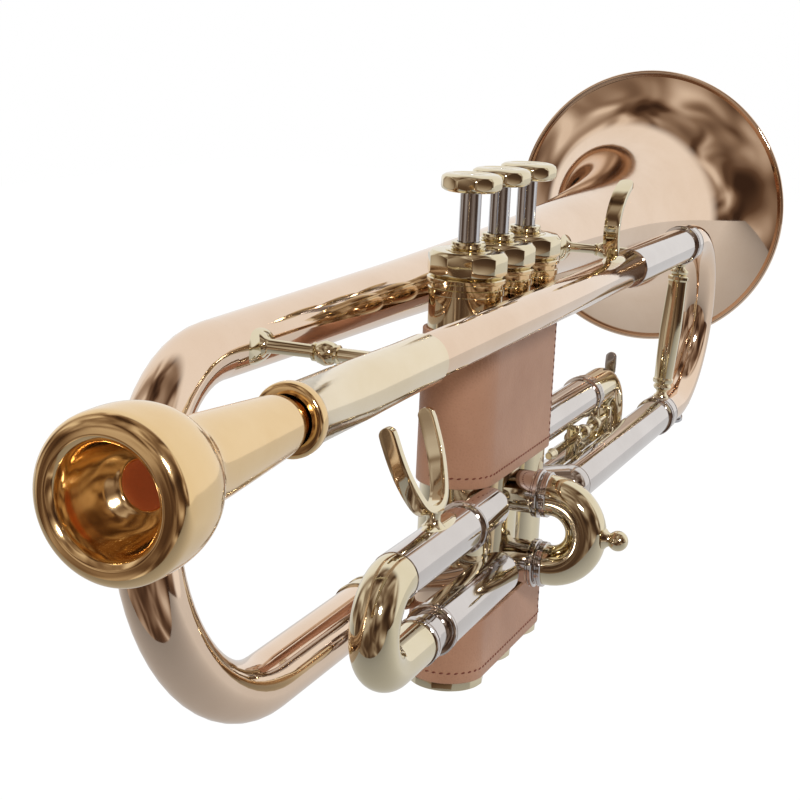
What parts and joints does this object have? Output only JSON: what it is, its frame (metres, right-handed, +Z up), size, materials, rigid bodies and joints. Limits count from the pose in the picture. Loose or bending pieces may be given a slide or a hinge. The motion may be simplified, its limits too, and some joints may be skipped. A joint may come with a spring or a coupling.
{
  "type": "trumpet",
  "caption": "B flat trumpet with three piston valves, a leather grip round the casings, a pull-out mouthpiece, four moving slides and a water key, in rose and yellow brass",
  "frame": {"origin": "on the second valve's axis, 50 mm below the leadpipe's axis, in the middle of the grip", "axes": "+X forward to the bell, +Y to the player's left, +Z up along the valves"},
  "size_m": [0.5209, 0.1313, 0.1703],
  "materials": {
    "rose_brass": "polished",
    "yellow_brass": "polished",
    "brass_plain": "satin",
    "gold_plate": "polished",
    "nickel_silver": "polished",
    "steel": "satin",
    "leather": "matte"
  },
  "bodies": {
    "horn": {"receiver": "yellow_brass", "leadpipe": "rose_brass", "upper_sleeve": "nickel_silver", "lower_sleeve": "nickel_silver", "valve_elbow": "yellow_brass", "bell": "rose_brass", "bell_bow": "rose_brass", "bell_tail": "rose_brass", "front_brace": "yellow_brass", "rear_brace": "yellow_brass", "pinky_hook": "yellow_brass", "leather_wrap": "leather", "slide_1_inner": "nickel_silver", "slide_1_sleeve": "nickel_silver", "slide_2_upper_sleeve": "nickel_silver", "slide_2_lower_sleeve": "nickel_silver", "slide_3_upper_sleeve": "nickel_silver", "slide_3_lower_sleeve": "nickel_silver", "slide_3_lug": "yellow_brass", "knuckle_1": "yellow_brass", "knuckle_2": "yellow_brass", "casing_1": "yellow_brass", "top_cap_1": "yellow_brass", "bottom_cap_1": "yellow_brass", "guide_1": "brass_plain", "casing_2": "yellow_brass", "top_cap_2": "yellow_brass", "bottom_cap_2": "yellow_brass", "guide_2": "brass_plain", "casing_3": "yellow_brass", "top_cap_3": "yellow_brass", "bottom_cap_3": "yellow_brass", "guide_3": "brass_plain"},
    "mouthpiece": {"mouthpiece": "gold_plate"},
    "first_slide": {"slide_1_outer": "nickel_silver", "slide_1_leg": "nickel_silver", "slide_1_bow": "yellow_brass", "thumb_saddle": "yellow_brass"},
    "second_slide": {"slide_2_bow": "yellow_brass", "slide_2_knob": "yellow_brass"},
    "third_slide": {"slide_3_bow": "yellow_brass", "slide_3_hook": "steel", "slide_3_stop_rod": "yellow_brass"},
    "tuning_slide": {"tuning_bow": "rose_brass", "tuning_upper_leg": "nickel_silver", "tuning_lower_leg": "nickel_silver", "tuning_brace": "yellow_brass", "knurled_knob": "steel", "water_key_saddle": "yellow_brass"},
    "water_key": {"water_key": "steel"},
    "valve_1": {"piston_1": "nickel_silver", "stem_1": "steel", "spring_1": "steel"},
    "valve_2": {"piston_2": "nickel_silver", "stem_2": "steel", "spring_2": "steel"},
    "valve_3": {"piston_3": "nickel_silver", "stem_3": "steel", "spring_3": "steel"}
  },
  "joints": [
    {"name": "valve_1_stroke", "type": "slide", "parent": "horn", "child": "valve_1", "axis": [0, 0, -1], "range_m": [0, 0.0133], "stiffness_N_per_m": 150, "springref_m": -0.012, "deforming": ["spring_1"]},
    {"name": "valve_2_stroke", "type": "slide", "parent": "horn", "child": "valve_2", "axis": [0, 0, -1], "range_m": [0, 0.0133], "stiffness_N_per_m": 150, "springref_m": -0.012, "deforming": ["spring_2"]},
    {"name": "valve_3_stroke", "type": "slide", "parent": "horn", "child": "valve_3", "axis": [0, 0, -1], "range_m": [0, 0.0133], "stiffness_N_per_m": 150, "springref_m": -0.012, "deforming": ["spring_3"]},
    {"name": "mouthpiece_pull", "type": "slide", "parent": "horn", "child": "mouthpiece", "axis": [-1, 0, 0], "range_m": [0, 0.03]},
    {"name": "first_slide_pull", "type": "slide", "parent": "horn", "child": "first_slide", "axis": [-1, 0, 0], "range_m": [0, 0.02]},
    {"name": "second_slide_pull", "type": "slide", "parent": "horn", "child": "second_slide", "axis": [0, -1, 0], "range_m": [0, 0.008]},
    {"name": "third_slide_pull", "type": "slide", "parent": "horn", "child": "third_slide", "axis": [1, 0, 0], "range_m": [0, 0.0195]},
    {"name": "tuning_slide_pull", "type": "slide", "parent": "horn", "child": "tuning_slide", "axis": [1, 0, 0], "range_m": [0, 0.025]},
    {"name": "water_key_hinge", "type": "hinge", "parent": "tuning_slide", "child": "water_key", "pos_m": [0.18262, -0.0169, -0.01554], "axis": [0, -1, 0], "range_deg": [0, 8], "stiffness_Nm_per_rad": 0.02, "springref_deg": -17.19}
  ]
}
